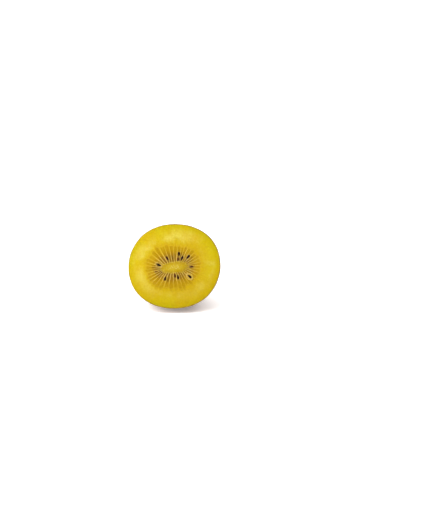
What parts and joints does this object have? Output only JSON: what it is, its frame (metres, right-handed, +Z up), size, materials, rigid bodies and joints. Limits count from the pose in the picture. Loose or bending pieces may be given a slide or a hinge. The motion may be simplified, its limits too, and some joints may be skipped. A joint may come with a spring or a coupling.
{
  "type": "golden kiwi fruit half",
  "caption": "Cut half of a golden kiwi fruit lying on its side, with yellow flesh, a pale core and dark seeds round it.",
  "frame": {"origin": "on the surface that the fruit rests on, under the middle of its box", "axes": "+Z up; the cut face looks towards -Y and leans back 15 degrees, the stem end is towards +Y, and +X runs across the cut face to its right"},
  "size_m": [0.0542, 0.0484, 0.0511],
  "materials": {
    "flesh": "moist golden flesh with a soft wet gloss",
    "core": "pale fibrous core, slightly moist",
    "seeds": "dark brown to black, glossy",
    "skin": "thin brown skin with fine speckles and a soft sheen",
    "stem_end": "dull, corky and withered"
  },
  "bodies": {
    "root": {"kiwi_half": "flesh"}
  },
  "joints": []
}
